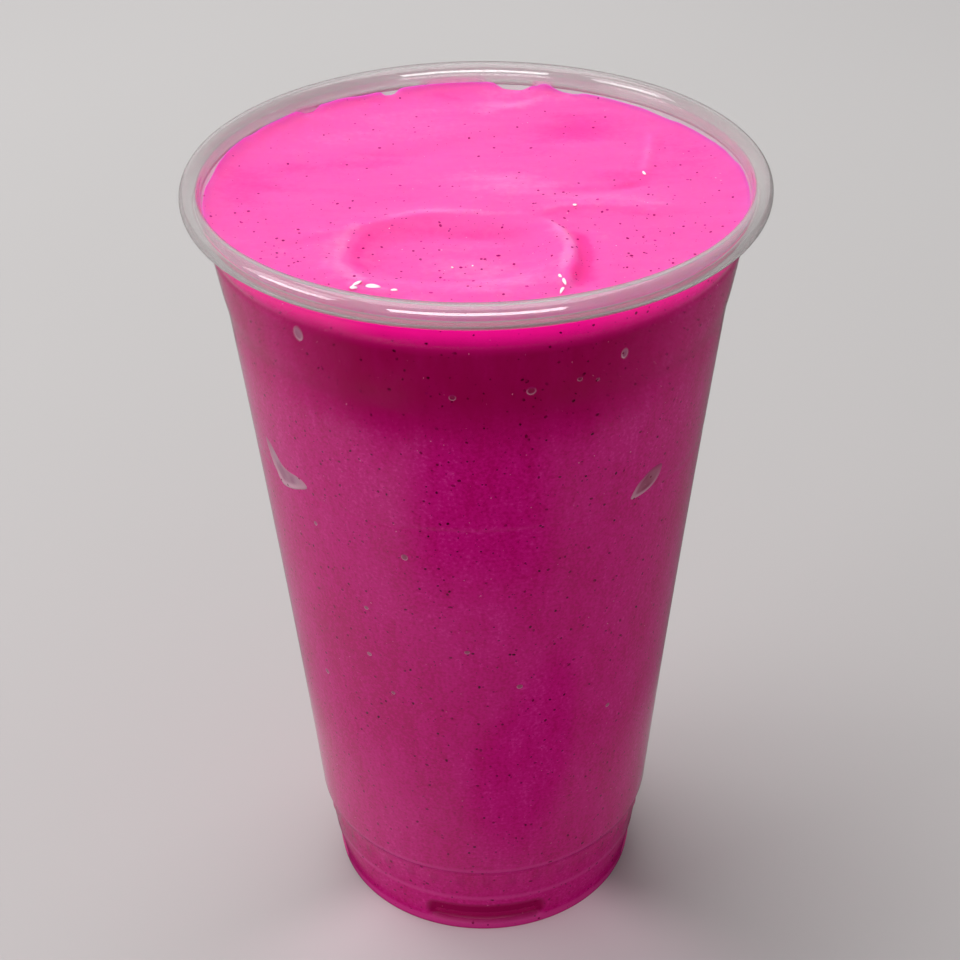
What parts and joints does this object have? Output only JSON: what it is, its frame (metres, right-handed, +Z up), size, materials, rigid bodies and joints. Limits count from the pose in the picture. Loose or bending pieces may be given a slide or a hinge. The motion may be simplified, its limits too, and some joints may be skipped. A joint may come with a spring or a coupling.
{
  "type": "berry smoothie in a clear plastic cup",
  "caption": "Thick pink berry smoothie with a swirled surface, filling a tall tapered clear plastic cup with a rolled rim and a stepped foot.",
  "frame": {"origin": "middle of the cup's foot, on the surface that the cup stands on", "axes": "+Z up along the cup's own axis, -Y towards the front as pictured, +X to the right"},
  "size_m": [0.098, 0.098, 0.148],
  "materials": {
    "clear_plastic": "clear, glossy formed sheet, seen as grey-white highlights along the rolled rim",
    "berry_smoothie": "thick, softly wet pink drink, paler and brighter on top, with fine dark seeds"
  },
  "bodies": {
    "root": {"cup": "clear_plastic", "smoothie": "berry_smoothie"}
  },
  "joints": []
}
